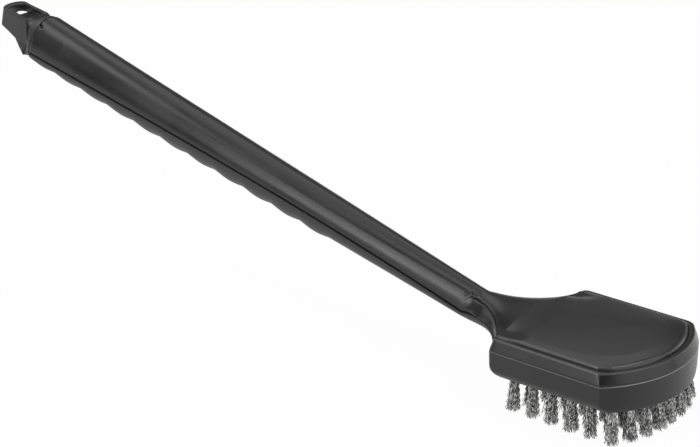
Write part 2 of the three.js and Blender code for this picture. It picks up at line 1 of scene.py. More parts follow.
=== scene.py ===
import bpy
import numpy as np
from mathutils import Matrix


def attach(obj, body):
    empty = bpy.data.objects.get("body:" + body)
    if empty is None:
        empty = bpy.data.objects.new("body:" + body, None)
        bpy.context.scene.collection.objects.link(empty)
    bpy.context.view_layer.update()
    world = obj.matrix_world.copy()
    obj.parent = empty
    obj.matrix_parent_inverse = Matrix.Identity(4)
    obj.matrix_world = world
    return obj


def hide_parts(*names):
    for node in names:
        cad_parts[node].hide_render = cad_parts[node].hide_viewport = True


# A long-handled wire brush. Shapes are worked out in millimetres in the head's own frame: x = 0 is
# the head's rear edge, z = 0 the seam between cover and block, and the near side is -y.
# TO_PART moves that frame to the part's, whose floor carries the bristle tips.
TO_PART = np.array([162.37, 0.0, 34.7])
MM = 0.001

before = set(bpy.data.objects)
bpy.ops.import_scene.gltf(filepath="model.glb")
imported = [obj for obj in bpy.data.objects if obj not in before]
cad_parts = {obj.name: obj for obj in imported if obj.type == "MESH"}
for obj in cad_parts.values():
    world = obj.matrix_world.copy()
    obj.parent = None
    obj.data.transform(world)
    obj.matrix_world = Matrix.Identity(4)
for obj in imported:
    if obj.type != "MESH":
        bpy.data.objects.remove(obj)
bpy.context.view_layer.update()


# ---- Curves and grids ----


def ease(a, b, x):
    """A smooth step: 0 up to a, 1 from b on, and 3s^2 - 2s^3 of the share s between them."""
    s = np.clip((np.asarray(x, float) - a) / (b - a), 0.0, 1.0)
    return s * s * (3.0 - 2.0 * s)


def mix(a, b, t):
    """The point or number at a share t of the way from a to b."""
    return a + (b - a) * t


def polynomial(places, values):
    """The polynomial that runs exactly through values at places."""
    coefficients = np.polyfit(places, values, len(places) - 1)
    return lambda u: np.polyval(coefficients, u)


def bend(a, b, c, t):
    """The quadratic curve from a to c that is pulled towards b: (1-t)^2 a + 2t(1-t) b + t^2 c."""
    return (1 - t) ** 2 * a + 2 * t * (1 - t) * b + t**2 * c


def stack(x, y, z):
    """Three arrays of any matching shapes as one array of points."""
    return np.stack(np.broadcast_arrays(x, y, z), axis=-1)


def grid_faces(rows, columns, ring_rows=False, ring_columns=False, first=0):
    """Quads between neighbours of a grid of points, one face for each cell. A grid that is a ring
    in a direction has one more cell there, back to its first row or column."""
    i = np.arange(rows if ring_rows else rows - 1)[:, None]
    j = np.arange(columns if ring_columns else columns - 1)[None, :]
    below, beside = (i + 1) % rows, (j + 1) % columns
    corners = [i * columns + j, i * columns + beside, below * columns + beside, below * columns + j]
    return np.stack([np.broadcast_to(c, (i.size, j.size)) for c in corners], -1).reshape(-1, 4) + first


def fan(ring, centre):
    """Triangles from a centre point to each edge of a closed ring of point numbers."""
    return np.stack([ring, np.roll(ring, -1), np.full(len(ring), centre)], -1)


def make_piece(name, points, faces, material, node):
    """A named mesh object from points in the head's frame and arrays of faces. Its faces are turned
    outwards by the sign of the volume they enclose, the sum of a.(b x c)/6 over their triangles,
    and its object stays at the origin."""
    points = (np.asarray(points, float).reshape(-1, 3) + TO_PART) * MM
    corners = [points[block] for block in faces]
    fans = [(c[:, 0], c[:, k], c[:, k + 1]) for c in corners for k in range(1, c.shape[1] - 1)]
    volume = sum(np.einsum("ij,ij->", a, np.cross(b, c)) for a, b, c in fans) / 6
    outward = [block[:, ::-1] if volume < 0 else block for block in faces]
    mesh = bpy.data.meshes.new(name)
    mesh.from_pydata(points.tolist(), [], [f for block in outward for f in block.tolist()])
    mesh.validate()
    mesh.polygons.foreach_set("use_smooth", np.ones(len(mesh.polygons), bool))
    mesh.materials.append(material)
    mesh.update()
    piece = bpy.data.objects.new(name, mesh)
    bpy.context.scene.collection.objects.link(piece)
    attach(piece, "root")
    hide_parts(node)
    return piece


# ---- Measures of the brush ----

GAP = 0.3
HALF = 44.25
SIDE_LENGTH = 71.2
FRONT_BOW = 18.0
FRONT_RADIUS = (HALF**2 + FRONT_BOW**2) / (2 * FRONT_BOW)
FRONT_CENTRE = SIDE_LENGTH + FRONT_BOW - FRONT_RADIUS
CORNER_ROUND = 2.0
REAR_CORNER = 2.4
OUTLINE_STEPS = (44, 11, 30)
REAR_STEPS = 9
BLOCK_DEPTH = 15.3
BRISTLE_LENGTH = 19.4

SLOPE = np.radians(14.27)
AXIS = np.array([-np.cos(SLOPE), 0.0, np.sin(SLOPE)])
NORMAL = np.array([np.sin(SLOPE), 0.0, np.cos(SLOPE)])
AXIS_START = np.array([0.0, 0.0, -10.45])
HANDLE_END = 392.0
NECK = 46.0
KEY_SIDE = 8.8
# The rounded edge of both shells at the open end: places along the axis and how far each is drawn in.
END_PLACES = [391.85, 391.6, 391.2]
END_INSETS = [0.75, 0.3, 0.08]

half_width = polynomial([40, 215, 390], [9.7, 12.95, 15.5])
top_height = polynomial([40, 215, 390], [10.25, 12.6, 16.4])
under_depth = polynomial([40, 215, 390], [8.1, 12.7, 12.1])
seam_drop = polynomial([40, 157, 273, 390], [3.2, 0, 1.4, 4.9])


def handle_point(u, y, n):
    """A point at u along the handle's axis, y to the side and n above the axis."""
    u, y, n = np.broadcast_arrays(u, y, n)
    base = AXIS_START + u[..., None] * AXIS + n[..., None] * NORMAL
    return base + np.stack([np.zeros_like(y), y, np.zeros_like(y)], -1)


def end_insets(u):
    """How far sections at places u are drawn in, from the open end on."""
    insets = np.zeros(u.size)
    insets[: len(END_INSETS)] = END_INSETS
    return insets


def half_outline(inset, corner_radius, rear, sides, front_inset=None):
    """The near half of the head's outline, drawn in by an inset. It runs along given points of the
    rear corner, down the straight side, round the front corner and along the bowed front, whose
    arc has its middle on the centre line and may have an inset of its own."""
    half, bow = HALF - inset, FRONT_RADIUS - inset
    middle_x = FRONT_CENTRE + (0.0 if front_inset is None else inset - front_inset)
    centre_x = middle_x + np.sqrt((bow - corner_radius) ** 2 - (half - corner_radius) ** 2)
    turn = np.arctan2(-(half - corner_radius), centre_x - middle_x)
    start = rear[-1][0]
    s = np.linspace(0, 1, sides[0])[1:-1]
    side = np.stack([mix(start, centre_x, s), np.full(s.size, -half)], -1)
    a = np.linspace(-np.pi / 2, turn, sides[1])
    corner = np.stack([np.cos(a), np.sin(a)], -1) * corner_radius + [centre_x, corner_radius - half]
    b = np.linspace(turn, 0, sides[2])[1:]
    front = np.stack([np.cos(b), np.sin(b)], -1) * bow + [middle_x, 0.0]
    return np.concatenate([rear, side, corner, front])


def rear_corner(x, y, radius, count):
    """A quarter circle from the rear edge at x round to the side at -y."""
    a = np.linspace(np.pi, 1.5 * np.pi, count)
    return np.stack([x + radius + radius * np.cos(a), radius - y + radius * np.sin(a)], -1)


# ---- Cover with handle top ----

RIM_Z = 6.6
RIM_INSET, RIM_REAR_INSET = 2.4, 1.2
RIM_CORNER, RIM_REAR_CORNER = 8.0, 3.0
EDGE_CORNER, EDGE_REAR = 11.0, (0.9, 4.2)
LEDGE_INSET = 5.7
GROOVE_DEPTH = 1.3
DOME_EDGE_Z, DOME_REAR_Z, CROWN_Z = 7.7, 9.3, 11.0
CROWN_X = 52
DOME_POWER = 2.2
LIP = np.array([0.0, 0.12, 0.3, 0.52, 0.8, 1.2])
CREASE = [np.array(p) for p in ([-41, 6.6, 6.9], [-18.5, 6.4, 5.6], [0, 38, 1.6])]
CREASE_GROOVE, GROOVE_WIDTH = 1.4, 0.55
CROWN_POWER, CROWN_SINK = 4.2, 1.1
WALL_POWERS = (2.2, 0.5)
# Places where the neck's skin is sampled closely: shares of the wall's height just below the
# crease, and distances from the crease over its top.
BELOW_CREASE = np.array([0.86, 0.91, 0.94, 0.965, 0.985, 1.0])
NEAR_CREASE = np.array([0.12, 0.25, 0.4, 0.55, 0.75, 1.0, 1.4, 2.0])
INNER_STEPS = 4
KEY_NOTCH, NOTCH_HALF = 3.4, 1.15
SEAM_PULL = np.array([-16.0, 12.5, 0.0])
SEAM_END = np.array([0.0, HALF - 3.6, 0.0])
neck_top = polynomial([0, 0.45, 1], [9.6, 8.5, 9.3])


def web_seam(t):
    """The seam of the neck web on the far side: a curve from the handle's seam to the head."""
    start = handle_point(NECK, half_width(NECK), -seam_drop(NECK))
    return bend(start, SEAM_PULL, SEAM_END, np.asarray(t)[..., None])


def web_top_at_head(y):
    """Height of the web's crowned top where it meets the head, from the middle outwards."""
    share = np.clip(np.abs(y) / CREASE[2][1], 0, 1)
    return mix(CREASE[2][2], neck_top(1), 1 - share**CROWN_POWER)


def tuck(height, reach, depth):
    """How far a wall is drawn in just above the seam: depth at the seam, fading out at reach."""
    return depth * (1 - ease(0, reach, height))


def mirrored(half_rows):
    """Rows of half sections from the near seam to the ridge, completed with their far halves."""
    far = half_rows[:, -2::-1] * [1, -1, 1]
    return np.concatenate([half_rows, far], 1)


def handle_top_rows(u, counts):
    """Half sections of the handle's top. A section is a half ellipse that stands on the seam. Its
    foot is drawn in a little, which keeps a dark line above the seam."""
    u = u[:, None]
    base = -seam_drop(u) + GAP / 2
    rise = top_height(u) - base
    lip = np.arcsin(LIP[None, :] * 1.15 / rise)
    wall = np.linspace(0, 1, counts["side"] + 1)[1:] * (np.pi / 4 - lip[:, -1:]) + lip[:, -1:]
    top = np.broadcast_to(np.linspace(np.pi / 4, np.pi / 2, counts["top"] + 1)[1:], (u.size, counts["top"]))
    angle = np.concatenate([lip, wall, top], 1)
    height = rise * np.sin(angle)
    y = -(half_width(u) * np.cos(angle) - tuck(height, 1.5, 0.55))
    return handle_point(u, y, base + height)


def keyed(rows, u):
    """Rows of the handle's end, drawn back in a narrow notch on the near side for the plug's key.
    The depth fades as exp(-s^4) of the distance from the notch's middle in half widths."""
    across = (rows[..., 1] + KEY_SIDE) / NOTCH_HALF
    mask = np.exp(-(across**4)) * (rows[..., 2] > rows[:, :1, 2] + 4)
    fade = ease(HANDLE_END - 9, HANDLE_END, u)[:, None]
    return rows - (KEY_NOTCH * mask * fade)[..., None] * AXIS


def smooth_larger(a, b, sharpness):
    """The larger of two numbers with a rounded change-over: ln(e^(ka) + e^(kb)) / k."""
    return np.logaddexp(a * sharpness, b * sharpness) / sharpness


def straight_handle_top(x, y):
    """Height at (x, y) of the handle's top when its half ellipse runs straight on to the head."""
    n = np.full(np.broadcast(x, y).shape, 10.0)
    for _ in range(4):
        u = (n * NORMAL[0] - x) / -AXIS[0]
        base = -seam_drop(u)
        n = base + (top_height(u) - base) * np.sqrt(np.clip(1 - (y / half_width(u)) ** 2, 0, 1))
    return AXIS_START[2] + u * AXIS[2] + n * NORMAL[2]


def straight_handle_side(x, z):
    """Half width at (x, z) of the same straight handle."""
    u = x * AXIS[0] + (z - AXIS_START[2]) * AXIS[2]
    n = x * NORMAL[0] + (z - AXIS_START[2]) * NORMAL[2]
    base = -seam_drop(u)
    return half_width(u) * np.sqrt(np.clip(1 - ((n - base) / (top_height(u) - base)) ** 2, 0, 1))


def neck_rows(t, counts):
    """Half sections of the neck. The web has a side wall that flares from the seam up to the
    crease, with its distance from the middle going as a power of its height, which falls from 2.2
    at the handle's side to 0.5. The top is the higher of the web's crown and the straight
    handle, with a rounded change-over. A narrow groove runs along the crease."""
    t = t[:, None]
    seam = web_seam(t)
    crease = bend(*CREASE, t[..., None])
    sunk = CROWN_SINK * (1 - ease(0.0, 0.22, t))
    lip = LIP / LIP[-1] * 0.2
    spare = counts["side"] + 1 - BELOW_CREASE.size - NEAR_CREASE.size - INNER_STEPS
    q = np.concatenate([lip, np.linspace(lip[-1], 0.8, spare)[1:], BELOW_CREASE])[None, :]
    wall_z = mix(seam[..., 2] + GAP / 2, crease[..., 2], q)
    wall_x = mix(seam[..., 0], crease[..., 0], q)
    web_y = mix(seam[..., 1], crease[..., 1], q ** mix(*WALL_POWERS, ease(0.0, 0.3, t)))
    wall_y = mix(straight_handle_side(wall_x, wall_z), web_y, ease(0.0, 0.2, t))
    wall_y = wall_y - tuck(wall_z - seam[..., 2], 1.3, 0.5) * (1 - q)
    edge_y = wall_y[:, -1:]
    near = NEAR_CREASE / edge_y
    inner = mix(near[:, -1:], 0.35, np.linspace(0, 1, INNER_STEPS + 1)[1:])
    outer = mix(0.35, 1.0, np.linspace(0, 1, counts["top"] + 1)[1:]) * np.ones_like(t)
    s = np.concatenate([near, inner, outer], 1)
    fullness = mix(2.0, CROWN_POWER, t**2)
    web_z = mix(crease[..., 2], neck_top(t), 1 - (1 - s) ** fullness) - sunk * s
    top_y = edge_y * (1 - s)
    sharpness = mix(20.0, 3.5, ease(0.0, 0.3, s))
    top_z = smooth_larger(web_z, straight_handle_top(crease[..., 0], top_y), sharpness)
    top_x = np.broadcast_to(crease[..., 0], top_y.shape)
    skin = np.concatenate([stack(wall_x, -wall_y, wall_z), stack(top_x, -top_y, top_z)], 1)
    away = np.linalg.norm(skin - skin[:, q.size - 1 : q.size], axis=-1)
    fading = mix(1.0, 0.45, ease(0.55, 0.75, t)) * (1 - ease(0.93, 1.0, t))
    depth = CREASE_GROOVE * ease(0.0, 0.1, t) * fading
    groove = depth * np.exp(-((away / GROOVE_WIDTH) ** 2))
    return skin + groove[..., None] * [0.0, 0.75, -0.65]


def head_rows(counts):
    """Half sections of the head, one for each point of its outline: the drafted rim wall, its
    rounded top edge, a ledge that ends in a narrow groove, the dome's rounded step, and the dome.
    The dome's height goes from its edge to its ridge as 1 - (1-q)^2.2 of the share q of the way.
    At the rear it comes down smoothly to a low edge, which meets the web in the middle."""
    wall_rear = rear_corner(0, HALF, REAR_CORNER, REAR_STEPS)
    rim_rear = rear_corner(RIM_REAR_INSET, HALF - RIM_INSET, RIM_REAR_CORNER, REAR_STEPS)
    edge_x = np.linspace(*EDGE_REAR, REAR_STEPS)
    edge_rear = np.stack([edge_x, np.full(REAR_STEPS, LEDGE_INSET - HALF)], -1)
    wall = half_outline(0, CORNER_ROUND, wall_rear, OUTLINE_STEPS)
    rim = half_outline(RIM_INSET, RIM_CORNER, rim_rear, OUTLINE_STEPS)
    edge = half_outline(LEDGE_INSET, EDGE_CORNER, edge_rear, OUTLINE_STEPS)
    along = np.clip(edge[:, :1] / SIDE_LENGTH, 0, 1)
    ridge = np.concatenate([CROWN_X * along, 0 * along], 1)
    ridge_z = mix(DOME_REAR_Z, CROWN_Z, 1 - (1 - along) ** 2)
    length = np.linalg.norm(ridge - edge, axis=1)[:, None]

    height = np.concatenate([LIP, np.linspace(LIP[-1], RIM_Z - 0.75, 8)[1:]])[None, :]
    share = height / RIM_Z + tuck(height, 0.8, 0.28) / RIM_INSET
    low = mix(wall[:, None], rim[:, None], share[..., None])
    low = stack(low[..., 0], low[..., 1], height + GAP / 2)

    inward = (edge - rim) / np.maximum(np.linalg.norm(edge - rim, axis=1), 0.8)[:, None]
    turn = np.linspace(0, 1, 6)[None, 1:, None]
    edge_in = mix(rim, edge, 0.24)
    rim_xy = bend(low[:, -1:, :2], rim[:, None], edge_in[:, None], turn)
    rim_z = bend(low[:, -1:, 2:], RIM_Z, RIM_Z, turn)
    rounded = np.concatenate([rim_xy, rim_z], -1)

    s = np.array([0.3, 0.7, 0.86, 1.0])[None, :, None]
    foot = edge - inward * 0.25
    ledge_xy = mix(edge_in[:, None], foot[:, None], s)
    ledge_z = RIM_Z - 0.2 * s - GROOVE_DEPTH * ease(0.65, 1.0, s)
    ledge = np.concatenate([ledge_xy, np.broadcast_to(ledge_z, (*ledge_xy.shape[:2], 1))], -1)

    def dome(q):
        """Points of the dome at a share q of the way from its edge to its ridge."""
        xy = mix(edge[:, None], ridge[:, None], q[..., None])
        crown = mix(DOME_EDGE_Z, ridge_z, 1 - (1 - q) ** DOME_POWER)
        across = np.abs(xy[..., 1])
        rear_x = 1.6 * ease(20, 36, across)
        low_edge = smooth_larger(6.4, web_top_at_head(xy[..., 1]), 2.2)
        z = mix(low_edge, crown, ease(rear_x - 1.0, rear_x + 17.0, xy[..., 0]))
        return stack(xy[..., 0], xy[..., 1], np.maximum(z, RIM_Z + 0.3))

    front = ease(SIDE_LENGTH - 6, SIDE_LENGTH + 6, edge[:, :1]) * ease(2, 16, np.abs(edge[:, 1:]))
    width = 1.2 + 1.5 * front
    after = dome(width / length)
    step = np.array([0.16, 0.34, 0.54, 0.76, 1.0])[None, :, None]
    shoulder = np.concatenate([mix(edge, after[:, 0, :2], 0.22), after[:, 0, 2:] - 0.05], 1)
    step_rows = bend(ledge[:, -1:], shoulder[:, None], after, step)

    q = mix(width / length, 1.0, np.linspace(0, 1, counts["dome"] + 1)[None, 1:] ** 1.1)
    return np.concatenate([low, rounded, ledge, step_rows, dome(q)], 1)


def cover_with_handle_top(material):
    """The upper moulding as one closed skin of sections, from the handle's end over the neck to
    the head, whose sections go round its outline to the middle of the front. With these counts
    each half section has 58 points, so that all of them join into one grid."""
    counts = {"side": 26, "top": 26, "dome": 31}
    u = np.concatenate([END_PLACES, [390.5], np.linspace(389, NECK, 130)])
    handle = handle_top_rows(u, counts)
    middle = handle_point(u, 0, -seam_drop(u))[:, None]
    handle = mix(handle, middle, (end_insets(u) / 16)[:, None, None])
    handle = keyed(handle, u)
    neck = neck_rows(np.concatenate([np.linspace(0.01, 0.97, 56), [0.985, 0.995]]), counts)
    head = head_rows(counts)
    foot = neck_rows(np.array([1.0]), counts)
    top = head[:1].copy()
    wall = (ease(0.0, 1.2, top[..., 2] - foot[..., 2]) * (top[..., 2] > 0.6))[..., None]
    lowered = top - wall * [0.25, 0, 0.7]
    rounded = top - wall * [0.12, 0, 0.22]
    rising = [mix(foot, lowered, share) for share in (0.06, 0.5, 0.93)]
    half = np.concatenate([handle, neck, foot, *rising, lowered, rounded, head])
    rows = mirrored(half)
    count = rows.shape[1]
    points = rows.reshape(-1, 3)
    end = points[:count].mean(0)
    faces = [grid_faces(len(rows), count, ring_columns=True), fan(np.arange(count), len(points))]
    return make_piece("cover_with_handle_top", np.vstack([points, end]), faces, material, "upper_shell")


# ---- Lower shell ----

FIRST_VALLEY = 143.7
FINGER_PITCH = 22.6
FINGERS = 11
SWELL, SWELL_POWER = 1.7, 1.2
LEDGE = 0.45
NECK_UNDER_POWER = 1.33
NECK_LOW_Z = -9.6


def finger_swell(u):
    """The finger grip's swell: 1.7 |sin(pi turns)|^1.2, which is zero in each valley."""
    turns = (u - FIRST_VALLEY) / FINGER_PITCH
    inside = (turns > 0) & (turns < FINGERS)
    return np.where(inside, SWELL * np.abs(np.sin(np.pi * turns)) ** SWELL_POWER, 0.0)


def under_profile():
    """Side and depth shares of a section below the seam, from the near side to the far side, as
    offsets (inwards, down) near the ledge's rounded edge and angles of a half ellipse between."""
    edge = np.array([[1.9, 0.0], [0.34, 0.0], [0.12, 0.05], [0.03, 0.16], [0.0, 0.34]])
    angle = np.linspace(0, np.pi, 51)[1:-1]
    return edge, angle


def under_rows(half, depth, power, place):
    """Closed sections below the seam. place(side, drop) gives the points for arrays of distances
    to the side and down. The ledge's edge is rounded, and below it hangs the curve on which
    |side/half|^power + |drop/depth|^power is 1, half an ellipse where the power is 2."""
    edge, angle = under_profile()
    start = np.arcsin((edge[-1, 1] / depth) ** (power / 2))
    turned = mix(start, np.pi - start, (angle / np.pi)[None, :])
    across = half * np.sign(np.cos(turned)) * np.abs(np.cos(turned)) ** (2 / power)
    side = np.concatenate([half - edge[:, 0], across, -half + edge[::-1, 0]], 1)
    level = np.zeros_like(half)
    hanging = depth * np.sin(turned) ** (2 / power)
    drop = np.concatenate([level + edge[:, 1], hanging, level + edge[::-1, 1]], 1)
    return place(-side, drop)


def grip_underside(material):
    """The lower moulding as one closed skin, from the handle's end to the head's rear wall. Under
    the neck its middle line falls to the wall with the sine of the way, and its seam flares with
    the web's."""
    grip = np.linspace(389.4, FIRST_VALLEY, 231)
    u = np.concatenate([END_PLACES, [390.4], grip, np.linspace(FIRST_VALLEY, NECK, 50)[1:]])
    inset = end_insets(u)[:, None]
    mark = np.exp(-(((u - FIRST_VALLEY + 1.4) / 0.5) ** 2))[:, None] * 0.3
    u = u[:, None]
    base = -seam_drop(u) - GAP / 2
    half = half_width(u) + LEDGE - inset - mark * 0.4
    depth = under_depth(u) + finger_swell(u) + base - inset - mark
    handle = under_rows(half, depth, 2.0, lambda y, d: handle_point(u, y, base - d))

    t = np.linspace(0, 1, 40)[1:, None]
    seam = web_seam(t)
    start = handle_point(NECK, 0, -under_depth(NECK))
    seam_x, seam_z = seam[..., 0], seam[..., 2] - GAP / 2
    bottom = mix(start[2], NECK_LOW_Z, np.sin(np.pi / 2 * t))
    half = seam[..., 1] + LEDGE * (1 - t)
    depth = seam_z - bottom
    x_low = mix(start[0], seam_x, t)
    power = mix(2.0, NECK_UNDER_POWER, ease(0.0, 0.6, t))
    neck = under_rows(half, depth, power, lambda y, d: stack(mix(seam_x, x_low, d / depth), y, seam_z - d))

    rows = np.concatenate([handle, neck])
    count = rows.shape[1]
    points = rows.reshape(-1, 3)
    ends = [points[:count].mean(0), points[-count:].mean(0)]
    ring = np.arange(count)
    faces = [
        grid_faces(len(rows), count, ring_columns=True),
        fan(ring, len(points)),
        fan(ring[::-1] + len(points) - count, len(points) + 1),
    ]
    return make_piece("grip_underside", np.vstack([points, ends]), faces, material, "lower_grip_shell")


# ---- End plug with hang loop ----

PLUG_START = 392.35
PLUG_INSET = 0.6
SHOULDER_LENGTH = 8.0
LOOP_END, LOOP_TURN = 428.0, 424.6
LOOP_HALF, LOOP_FLARE = 8.7, 1.2
LOOP_TOP, LOOP_RISE = 10, 1.1
END_BOW, END_ROUND = 2.2, 1.2
JOINT_FILLET, LOOP_FILLET, SLOT_FILLET = 0.4, 0.9, 0.55
SLOT_HALF = 6.8
RAMP_DROP = 5.0
# Along the axis: the slot's mouth, where its ramp ends, where its end is rounded, and its end.
SLOT = (405.5, 419.2, 419.4, 423.6)


def loop_half(u):
    """Half the loop's width. Over the shoulder at its root it goes from the collar's half width to
    the loop's with the share 1 - (1 - s^1.8)^1.2 of the way s."""
    collar = half_width(HANDLE_END) - PLUG_INSET
    flare = LOOP_HALF + LOOP_FLARE * (1 - ((u - HANDLE_END) / (LOOP_END - HANDLE_END)) ** 2)
    s = np.clip((u - PLUG_START) / SHOULDER_LENGTH, 0, 1)
    return flare + (collar - flare) * (1 - s**1.8) ** 1.2


def plug_top(u, y):
    """Height of the plug's top: the handle's arch at the joint, easing into the loop's flat top."""
    seam = -seam_drop(HANDLE_END)
    rise = top_height(HANDLE_END) - PLUG_INSET - seam
    arch = seam + rise * np.sqrt(np.clip(1 - (y / loop_half(u)) ** 2, 0, 1))
    flat = LOOP_TOP + LOOP_RISE * (LOOP_END - u) / (LOOP_END - SLOT[0])
    return mix(arch, flat, ease(PLUG_START, 404.5, u))


def plug_bottom(u, y):
    """Height of the plug's underside: the handle's lower arch at the joint, easing into the
    loop's underside. That rises towards the loop's end, and from its near edge to its far edge as
    6.2 + 4.4s - 1.8s^2 of the distance s to the side in half widths."""
    seam = -seam_drop(HANDLE_END)
    fall = under_depth(HANDLE_END) - PLUG_INSET + seam
    arch = seam - fall * np.sqrt(np.clip(1 - (y / loop_half(u)) ** 2, 0, 1))
    s = y / LOOP_HALF
    slant = -1.6 - 3.6 * (LOOP_END - u) / (LOOP_END - SLOT[0]) + 6.2 + 4.4 * s - 1.8 * s**2
    return mix(arch, slant, ease(PLUG_START, 400.5, u))


def loop_curves():
    """Three closed plans of matching points, in (along, side): the slot's mouth, the slot's through
    part behind its ramp, and the plug's outline. Each has a front, a near side, a round end and a
    far side."""
    a, b, c, d = SLOT
    front = np.linspace(1, -1, 25)[:-1]
    side = np.linspace(0, 1, 31)[:-1]
    turn = np.linspace(-np.pi / 2, np.pi / 2, 37)[:-1]

    def slot(start):
        """A slot's plan from its straight front to its round end."""
        run = mix(start, c, side)
        return np.concatenate(
            [
                np.stack([np.full(front.size, start), front * SLOT_HALF], -1),
                np.stack([run, np.full(run.size, -SLOT_HALF)], -1),
                np.stack([c + (d - c) * np.cos(turn), SLOT_HALF * np.sin(turn)], -1),
                np.stack([mix(c, start, side), np.full(run.size, SLOT_HALF)], -1),
            ]
        )

    collar = loop_half(np.array(PLUG_START))
    along = mix(PLUG_START, LOOP_TURN, side**1.4)
    back = mix(LOOP_TURN, PLUG_START, 1 - (1 - side) ** 1.4)
    sine = np.sin(turn)
    power = np.sign(sine) * (1 - (1 - np.abs(sine)) ** 1.35)
    end_y = power * loop_half(np.array(LOOP_TURN))
    end_u = LOOP_END - END_BOW * power**2 - END_ROUND * power**10
    outline = np.concatenate(
        [
            np.stack([np.full(front.size, PLUG_START), front * collar], -1),
            np.stack([along, -loop_half(along)], -1),
            np.stack([end_u, end_y], -1),
            np.stack([back, loop_half(back)], -1),
        ]
    )
    return slot(a), slot(b), outline


def hang_loop_plug(material):
    """The plug as a grid that goes round the slot in one direction and round the loop's bar in the
    other: slot edge, top, outer edge, side wall, underside, slot wall and ramp."""
    mouth, through, outline = loop_curves()
    inward = mouth - outline
    inward /= np.linalg.norm(inward, axis=1)[:, None]
    at_joint = (outline[:, 0] < PLUG_START + 1e-6)[:, None]
    tall = plug_top(*outline.T)[:, None] - plug_bottom(*outline.T)[:, None]
    radius = np.where(at_joint, JOINT_FILLET, LOOP_FILLET)
    fillet = np.minimum(radius, np.maximum(tall, 0.02) * 0.4)
    drawn = outline + inward * fillet
    rim = mouth - inward * SLOT_FILLET

    def on(surface, plan, drop=0.0):
        """Points of a plan on the plug's top or bottom surface."""
        return stack(plan[..., 0], plan[..., 1], surface(plan[..., 0], plan[..., 1]) - drop)

    s = np.array([0.0, 0.06, 0.2, 0.4, 0.6, 0.8, 0.94, 1.0])[None, :, None]
    top = on(plug_top, mix(rim[:, None], drawn[:, None], s))
    rim_low = on(plug_top, mouth[:, None], SLOT_FILLET)
    rim_edge = on(plug_top, mouth[:, None] - inward[:, None] * 0.16, 0.16)
    t = np.array([0.25, 0.5, 0.75, 1.0])[None, :, None]
    wall_top = on(plug_top, outline[:, None])
    wall_top[..., 2] -= fillet
    edge_top = bend(top[:, -1:], on(plug_top, outline[:, None]), wall_top, t)
    wall_low = on(plug_bottom, outline[:, None])
    wall_low[..., 2] += fillet
    wall = mix(wall_top, wall_low, np.array([0.08, 0.35, 0.65, 0.92, 1.0])[None, :, None])
    bottom_edge = on(plug_bottom, drawn[:, None])
    edge_low = bend(wall_low, on(plug_bottom, outline[:, None]), bottom_edge, t)
    under = on(plug_bottom, mix(drawn[:, None], through[:, None], s[:, 1:]))
    ramp = on(plug_top, through[:, None], RAMP_DROP)
    slot_wall = mix(under[:, -1:], ramp, np.array([0.04, 0.5, 1.0])[None, :, None])
    rise = mix(ramp, rim_low, np.array([0.1, 0.5, 0.9])[None, :, None])
    plan = np.concatenate([rim_low, rim_edge, top, edge_top, wall, edge_low, under, slot_wall, rise], 1)
    points = handle_point(plan[..., 0], plan[..., 1], plan[..., 2])

    key_u, key_y = np.array([388.5, 392.7]), np.array([-0.8, 0.8]) - KEY_SIDE
    level = top_height(HANDLE_END) * np.sqrt(1 - (KEY_SIDE / half_width(HANDLE_END)) ** 2)
    key_n = np.array([level - 6, level - 1.4])
    key = handle_point(*np.meshgrid(key_u, key_y, key_n, indexing="ij")).reshape(-1, 3)
    box = np.array([[0, 1, 3, 2], [4, 6, 7, 5], [0, 4, 5, 1], [2, 3, 7, 6], [0, 2, 6, 4], [1, 5, 7, 3]])
    grid = grid_faces(*points.shape[:2], ring_rows=True, ring_columns=True)
    points = points.reshape(-1, 3)
    faces = [grid, box + len(points)]
    return make_piece("hang_loop_plug", np.vstack([points, key]), faces, material, "hang_loop_end_plug")


# ---- Brush block ----

COLUMNS, ROWS = 8, 6
ROW_PITCH = 12.1
TUFT_SIDE = HALF - 9.65
TUFT_FRONT = SIDE_LENGTH + FRONT_BOW - 8.9
TUFT_BOW = 8.7
HOLE, HOLE_DEPTH, HOLE_CHAMFER = 2.6, 6.6, 0.3
SOLE_MARGIN = 0.05
CELL_RINGS, CELL_POINTS = 4, 32
BLOCK_DRAFT = 0.4
SIDE_ROUND, FRONT_ROUND, REAR_ROUND = 5.9, 0.5, 7.6
SOLE_REAR_CORNER, SOLE_CORNER = 3.2, 8.0


def edge_inset(height, radius):
    """How far a rounding of a radius draws a wall in at a height above the edge."""
    return radius - np.sqrt(radius**2 - max(radius - height, 0.0) ** 2)


def block_ring(height, margin, z):
    """The block's outline as a closed ring. Its wall has a small draft, and its lower edge is
    rounded more at the rear and the sides than at the front. A margin draws it in further."""
    draft = BLOCK_DRAFT * (1 - height / BLOCK_DEPTH) + margin
    side = draft + edge_inset(height, SIDE_ROUND)
    rear = edge_inset(height, REAR_ROUND)
    share = rear / REAR_ROUND
    radius = mix(REAR_CORNER, SOLE_REAR_CORNER, share)
    corner = rear_corner(margin + rear, HALF - side, radius, REAR_STEPS)
    front = draft + edge_inset(height, FRONT_ROUND)
    near = half_outline(side, mix(CORNER_ROUND, SOLE_CORNER, share), corner, OUTLINE_STEPS, front)
    ring = np.concatenate([near, near[-2::-1] * [1, -1]])
    return stack(ring[:, 0], ring[:, 1], z)


def front_row(y):
    """Where the bowed front row of tufts runs at distances from the middle."""
    bow = (TUFT_SIDE**2 + TUFT_BOW**2) / (2 * TUFT_BOW)
    return TUFT_FRONT - bow + np.sqrt(bow**2 - y**2)


def tuft_places():
    """Tuft centres by column and row: the bowed front row again at each pitch further back."""
    y = np.linspace(-TUFT_SIDE, TUFT_SIDE, COLUMNS)[:, None]
    x = front_row(y) - ROW_PITCH * np.arange(ROWS - 1, -1, -1)[None, :]
    return stack(x, y, 0.0)[..., :2]


